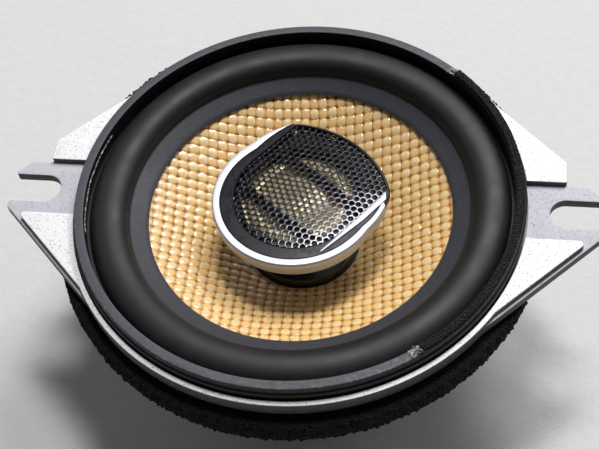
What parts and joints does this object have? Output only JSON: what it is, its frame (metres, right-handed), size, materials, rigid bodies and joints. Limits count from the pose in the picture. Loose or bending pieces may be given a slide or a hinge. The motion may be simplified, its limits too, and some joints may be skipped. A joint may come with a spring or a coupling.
{
  "type": "coaxial car speaker",
  "caption": "Round two-way car speaker: cast frame with slotted ears, woven cone in a rubber surround, and a shielded tweeter on a centre stalk.",
  "frame": {"origin": "centre of the rear face of the magnet's back plate, on the speaker's axis", "axes": "+Z along the speaker's axis towards the listener, +X from one mounting ear to the other, +Y towards the terminal board"},
  "size_m": [0.1394, 0.116, 0.0513],
  "materials": {
    "cast_metal": "cast and sprayed satin silver",
    "ring_plastic": "moulded, slightly purple black, fine grain",
    "foam_black": "open-cell foam",
    "rubber_surround": "satin",
    "spider_cloth": "resin-dipped woven cloth",
    "woven_cone": "woven fibre in glossy resin",
    "former_foil": "thin rolled foil",
    "copper_wire": "enamelled copper wire",
    "tinsel_braid": "tinsel braid",
    "plated_steel": "zinc plated",
    "ferrite": "sintered, ground faces",
    "black_plastic": "moulded",
    "silver_trim": "satin metallic silver",
    "black_mesh": "black lacquered perforated sheet",
    "gold_dome": "metallised film",
    "tweeter_magnet_metal": "nickel plated",
    "terminal_plastic": "phenolic board",
    "tinned_brass": "tin plated",
    "wire_red": "PVC insulation",
    "wire_black": "PVC insulation",
    "capacitor_sleeve": "shrink sleeve"
  },
  "bodies": {
    "chassis": {"basket_frame": "cast_metal", "front_ring": "ring_plastic", "ring_foam_strip": "foam_black", "rear_foam_ring": "foam_black", "surround": "rubber_surround", "spider": "spider_cloth", "tinsel_lead_positive": "tinsel_braid", "tinsel_lead_negative": "tinsel_braid", "yoke": "plated_steel", "magnet": "ferrite", "top_plate": "plated_steel", "frame_screw_1": "plated_steel", "frame_screw_2": "plated_steel", "frame_screw_3": "plated_steel", "frame_screw_4": "plated_steel", "terminal_board": "terminal_plastic", "terminal_positive": "tinned_brass", "terminal_negative": "tinned_brass", "terminal_rivet_lower": "plated_steel", "terminal_rivet_upper": "plated_steel", "crossover_capacitor": "capacitor_sleeve", "capacitor_lead": "copper_wire", "tweeter_stalk": "black_plastic", "tweeter_housing": "black_plastic", "tweeter_trim": "silver_trim", "tweeter_bezel": "black_plastic", "tweeter_accent": "silver_trim", "tweeter_grille": "black_mesh", "tweeter_guard": "black_plastic", "tweeter_magnet": "tweeter_magnet_metal", "tweeter_pole_plate": "plated_steel", "tweeter_yoke": "plated_steel", "tweeter_lead_positive": "wire_red", "tweeter_lead_negative": "wire_black"},
    "cone_assembly": {"cone": "woven_cone", "voice_coil_former": "former_foil", "voice_coil": "copper_wire"},
    "tweeter_diaphragm": {"tweeter_dome": "gold_dome", "tweeter_coil": "copper_wire"}
  },
  "joints": [
    {"name": "cone_excursion", "type": "slide", "parent": "chassis", "child": "cone_assembly", "axis": [0, 0, 1], "range_m": [-0.0025, 0.0025], "stiffness_N_per_m": 2500, "deforming": ["surround", "spider", "tinsel_lead_positive", "tinsel_lead_negative"]},
    {"name": "tweeter_excursion", "type": "slide", "parent": "chassis", "child": "tweeter_diaphragm", "axis": [0, 0, 1], "range_m": [-0.0002, 0.0002], "stiffness_N_per_m": 3000}
  ]
}
